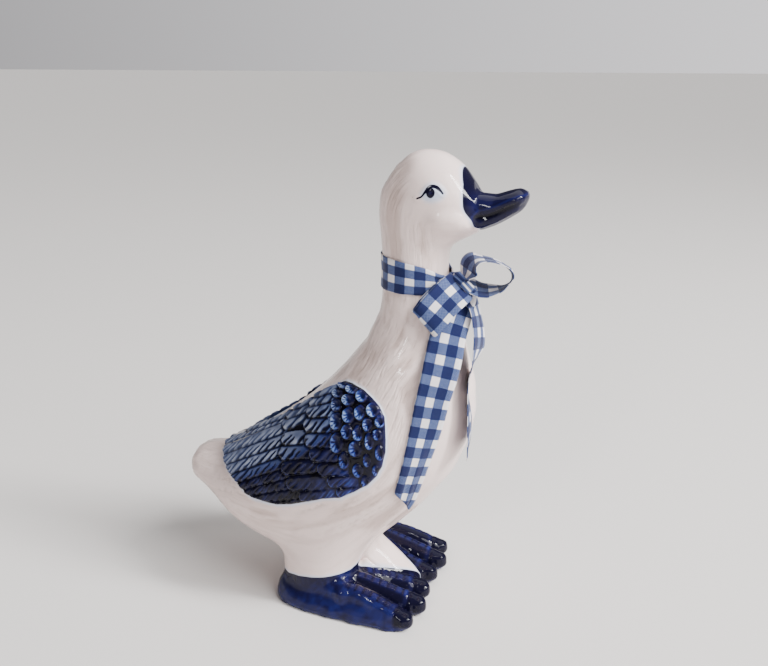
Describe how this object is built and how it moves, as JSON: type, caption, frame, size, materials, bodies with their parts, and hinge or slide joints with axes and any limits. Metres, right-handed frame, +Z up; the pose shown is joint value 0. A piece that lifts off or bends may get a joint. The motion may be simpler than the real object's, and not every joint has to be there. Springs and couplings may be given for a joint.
{
  "type": "porcelain duck figurine",
  "caption": "White glazed porcelain duck standing upright, cobalt-blue scaled wings, bill and feet, with a gingham ribbon tied in a bow round its neck.",
  "frame": {"origin": "on the ground plane, at the middle of the flat underside of the porcelain web between the legs", "axes": "+X is where the duck faces, +Y its left side, +Z up; underside on z = 0"},
  "size_m": [0.1796, 0.0864, 0.2311],
  "materials": {
    "porcelain": "high gloss",
    "gingham": "plain weave, matt"
  },
  "bodies": {
    "root": {"duck": "porcelain", "ribbon": "gingham"}
  },
  "joints": []
}
